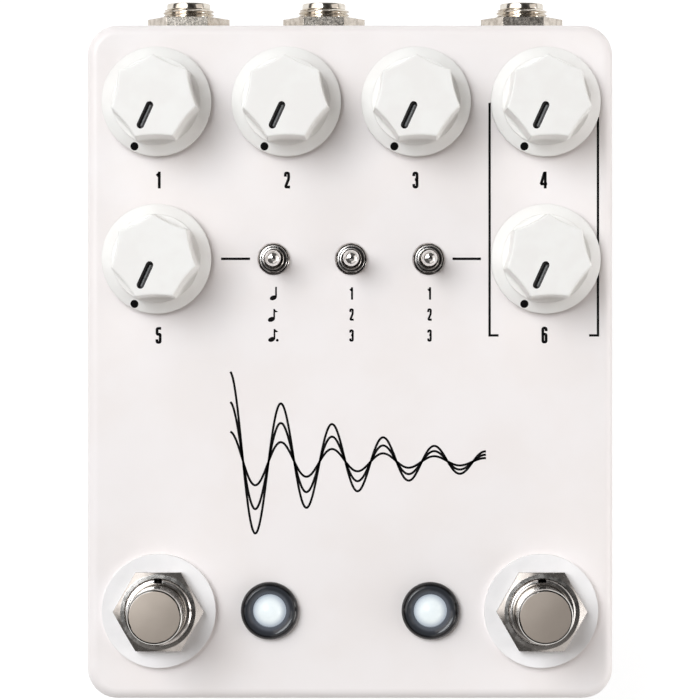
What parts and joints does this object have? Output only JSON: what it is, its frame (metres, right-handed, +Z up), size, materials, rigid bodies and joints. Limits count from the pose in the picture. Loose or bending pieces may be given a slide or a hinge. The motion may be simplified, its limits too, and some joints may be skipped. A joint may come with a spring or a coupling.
{
  "type": "delay pedal",
  "caption": "Compact delay effects pedal with fluted knobs, toggle switches, soft-touch footswitches, status lights and rear jacks.",
  "frame": {"origin": "middle of the bottom box side, where the rubber feet stand, with the jacks counted in the length", "axes": "+Z up out of the panel, +Y towards the rear wall with the jacks, +X to the player's right"},
  "size_m": [0.094, 0.126, 0.056],
  "materials": {
    "white_paint": "satin",
    "white_paint_plate": "satin",
    "knob_plastic": "satin",
    "nylon": "satin",
    "nickel_button": "polished",
    "nickel_nut": "polished",
    "nickel_bushing": "polished",
    "chrome_lever": "polished",
    "jack_nickel": "polished",
    "washer_steel": "satin",
    "plated_steel": "satin",
    "shaft_steel": "satin",
    "spring_steel": "satin",
    "black_steel": "satin",
    "pot_case": "satin",
    "phenolic": "matte",
    "switch_plastic": "satin",
    "black_plastic": "matte",
    "gloss_black_plastic": "gloss",
    "lens_plastic": "gloss",
    "contact_metal": "satin",
    "board": "satin",
    "chip_plastic": "matte",
    "capacitor_can": "satin",
    "black_rubber": "matte"
  },
  "bodies": {
    "case": {"enclosure": "white_paint", "bottom_plate": "white_paint_plate", "bottom_plate_screws": "black_steel", "rubber_feet": "black_rubber", "pot_housings": "pot_case", "pot_terminal_wafers": "phenolic", "pot_nuts": "plated_steel", "pot_washers": "plated_steel", "toggle_bushings": "nickel_bushing", "toggle_housings": "switch_plastic", "footswitch_nuts": "nickel_nut", "footswitch_nylon_washers": "nylon", "footswitch_inner_nuts": "plated_steel", "led_bezels": "gloss_black_plastic", "led_lenses": "lens_plastic", "led_leads": "plated_steel", "led_retaining_rings": "black_plastic", "jack_bushings": "jack_nickel", "jack_washers": "washer_steel", "jack_nuts": "jack_nickel", "jack_housings": "black_plastic", "jack_contacts": "contact_metal", "power_socket_housing": "black_plastic", "power_socket_pin": "contact_metal", "power_socket_contact": "contact_metal", "main_board": "board", "switch_board": "board", "board_header": "black_plastic", "chips": "chip_plastic", "capacitors": "capacitor_can", "footswitch_left_bushing": "nickel_bushing", "footswitch_left_housing": "black_plastic", "footswitch_left_spring": "spring_steel", "footswitch_right_bushing": "nickel_bushing", "footswitch_right_housing": "black_plastic", "footswitch_right_spring": "spring_steel"},
    "knob_1": {"knob_1": "knob_plastic", "knob_1_set_screw": "black_steel", "pot_1_shaft": "shaft_steel"},
    "knob_2": {"knob_2": "knob_plastic", "knob_2_set_screw": "black_steel", "pot_2_shaft": "shaft_steel"},
    "knob_3": {"knob_3": "knob_plastic", "knob_3_set_screw": "black_steel", "pot_3_shaft": "shaft_steel"},
    "knob_4": {"knob_4": "knob_plastic", "knob_4_set_screw": "black_steel", "pot_4_shaft": "shaft_steel"},
    "knob_5": {"knob_5": "knob_plastic", "knob_5_set_screw": "black_steel", "pot_5_shaft": "shaft_steel"},
    "knob_6": {"knob_6": "knob_plastic", "knob_6_set_screw": "black_steel", "pot_6_shaft": "shaft_steel"},
    "toggle_1": {"toggle_1_lever": "chrome_lever"},
    "toggle_2": {"toggle_2_lever": "chrome_lever"},
    "toggle_3": {"toggle_3_lever": "chrome_lever"},
    "footswitch_left": {"footswitch_left_button": "nickel_button"},
    "footswitch_right": {"footswitch_right_button": "nickel_button"}
  },
  "joints": [
    {"name": "knob_1_turn", "type": "hinge", "parent": "case", "child": "knob_1", "pos_m": [-0.0345, 0.04365, 0.04], "axis": [0, 0, -1], "range_deg": [0, 300]},
    {"name": "knob_2_turn", "type": "hinge", "parent": "case", "child": "knob_2", "pos_m": [-0.01137, 0.04365, 0.04], "axis": [0, 0, -1], "range_deg": [0, 300]},
    {"name": "knob_3_turn", "type": "hinge", "parent": "case", "child": "knob_3", "pos_m": [0.01177, 0.04365, 0.04], "axis": [0, 0, -1], "range_deg": [0, 300]},
    {"name": "knob_4_turn", "type": "hinge", "parent": "case", "child": "knob_4", "pos_m": [0.0349, 0.04365, 0.04], "axis": [0, 0, -1], "range_deg": [0, 300]},
    {"name": "knob_5_turn", "type": "hinge", "parent": "case", "child": "knob_5", "pos_m": [-0.0345, 0.0156, 0.04], "axis": [0, 0, -1], "range_deg": [0, 300]},
    {"name": "knob_6_turn", "type": "hinge", "parent": "case", "child": "knob_6", "pos_m": [0.0349, 0.0156, 0.04], "axis": [0, 0, -1], "range_deg": [0, 300]},
    {"name": "toggle_1_tilt", "type": "hinge", "parent": "case", "child": "toggle_1", "pos_m": [-0.01365, 0.0156, 0.0391], "axis": [1, 0, 0], "range_deg": [-12.5, 12.5]},
    {"name": "toggle_2_tilt", "type": "hinge", "parent": "case", "child": "toggle_2", "pos_m": [0.0002, 0.0156, 0.0391], "axis": [1, 0, 0], "range_deg": [-12.5, 12.5]},
    {"name": "toggle_3_tilt", "type": "hinge", "parent": "case", "child": "toggle_3", "pos_m": [0.01405, 0.0156, 0.0391], "axis": [1, 0, 0], "range_deg": [-12.5, 12.5]},
    {"name": "footswitch_left_press", "type": "slide", "parent": "case", "child": "footswitch_left", "axis": [0, 0, -1], "range_m": [0, 0.003], "stiffness_N_per_m": 1500, "springref_m": -0.002, "deforming": ["footswitch_left_spring"]},
    {"name": "footswitch_right_press", "type": "slide", "parent": "case", "child": "footswitch_right", "axis": [0, 0, -1], "range_m": [0, 0.003], "stiffness_N_per_m": 1500, "springref_m": -0.002, "deforming": ["footswitch_right_spring"]}
  ]
}
